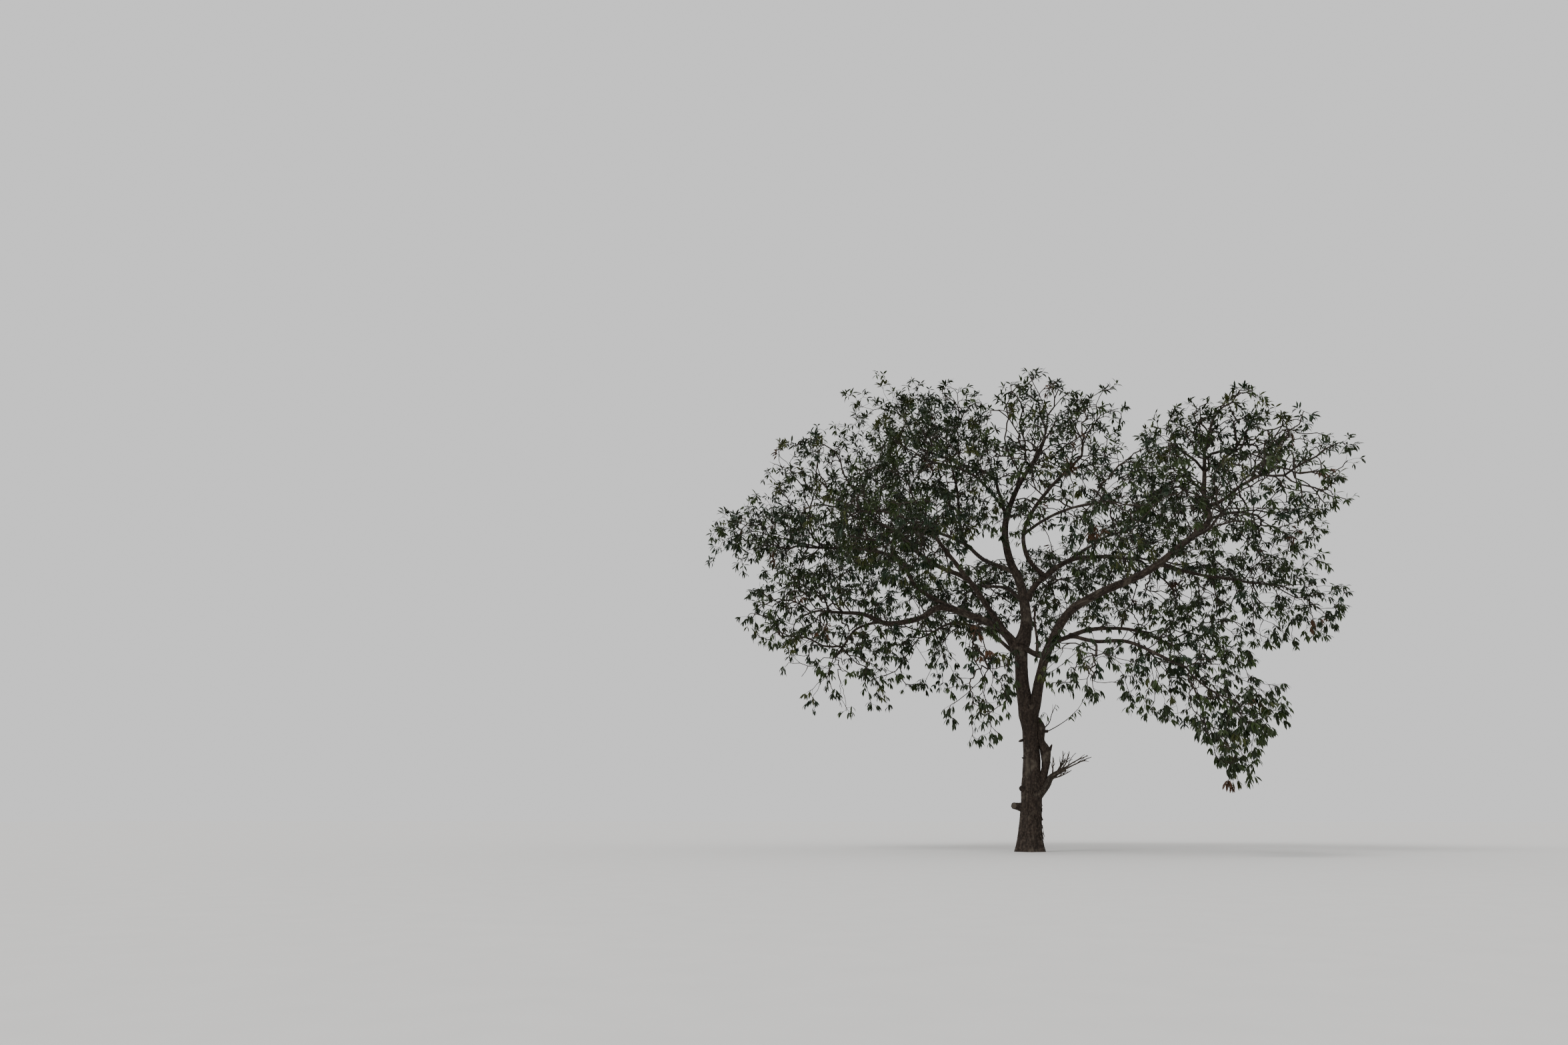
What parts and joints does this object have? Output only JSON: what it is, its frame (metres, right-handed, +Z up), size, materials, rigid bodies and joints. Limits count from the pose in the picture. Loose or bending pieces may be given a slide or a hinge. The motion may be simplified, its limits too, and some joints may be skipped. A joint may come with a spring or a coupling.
{
  "type": "broad-leaved tree",
  "caption": "Lone broad-leaved field tree in full dark leaf: short leaning trunk with a flared foot, spreading boughs and an open, umbrella-shaped crown.",
  "frame": {"origin": "middle of the flat cut under the trunk, at ground level", "axes": "+Z up, along the trunk; seen from the picture's side, +X to the right and +Y away from the viewer"},
  "size_m": [13.185, 10.3256, 10.0668],
  "materials": {
    "bark": "rough, furrowed dark brown bark with paler patches",
    "dead_wood": "weathered grey-brown dead wood",
    "foliage": "dark green leaves with a slight sheen"
  },
  "bodies": {
    "root": {"trunk": "bark", "bough_right": "bark", "bough_top_middle": "bark", "bough_left": "bark", "bough_front_left": "bark", "bough_outer_left": "bark", "bough_far_left": "bark", "bough_hanging_left": "bark", "bough_hanging_front": "bark", "bough_back_low_left": "bark", "bough_middle_left": "bark", "bough_back_left": "bark", "bough_upper_left": "bark", "bough_top_left": "bark", "bough_front_top_left": "bark", "bough_back_right_low": "bark", "bough_back_right": "bark", "bough_back_middle": "bark", "bough_top_right": "bark", "bough_front_top_right": "bark", "bough_front_top": "bark", "bough_right_tip": "bark", "bough_right_back": "bark", "bough_front_right": "bark", "bough_middle_right": "bark", "bough_low_right": "bark", "bough_back_low_right": "bark", "bough_drooping_right": "bark", "bough_hanging_right": "bark", "cut_stem": "bark", "dead_branch": "dead_wood", "cut_stub": "dead_wood", "leaves_right": "foliage", "leaves_top_middle": "foliage", "leaves_left": "foliage", "leaves_front_left": "foliage", "leaves_outer_left": "foliage", "leaves_far_left": "foliage", "leaves_hanging_left": "foliage", "leaves_hanging_front": "foliage", "leaves_back_low_left": "foliage", "leaves_middle_left": "foliage", "leaves_back_left": "foliage", "leaves_upper_left": "foliage", "leaves_top_left": "foliage", "leaves_front_top_left": "foliage", "leaves_back_right_low": "foliage", "leaves_back_right": "foliage", "leaves_back_middle": "foliage", "leaves_top_right": "foliage", "leaves_front_top_right": "foliage", "leaves_front_top": "foliage", "leaves_right_tip": "foliage", "leaves_right_back": "foliage", "leaves_front_right": "foliage", "leaves_middle_right": "foliage", "leaves_low_right": "foliage", "leaves_back_low_right": "foliage", "leaves_drooping_right": "foliage", "leaves_hanging_right": "foliage"}
  },
  "joints": []
}
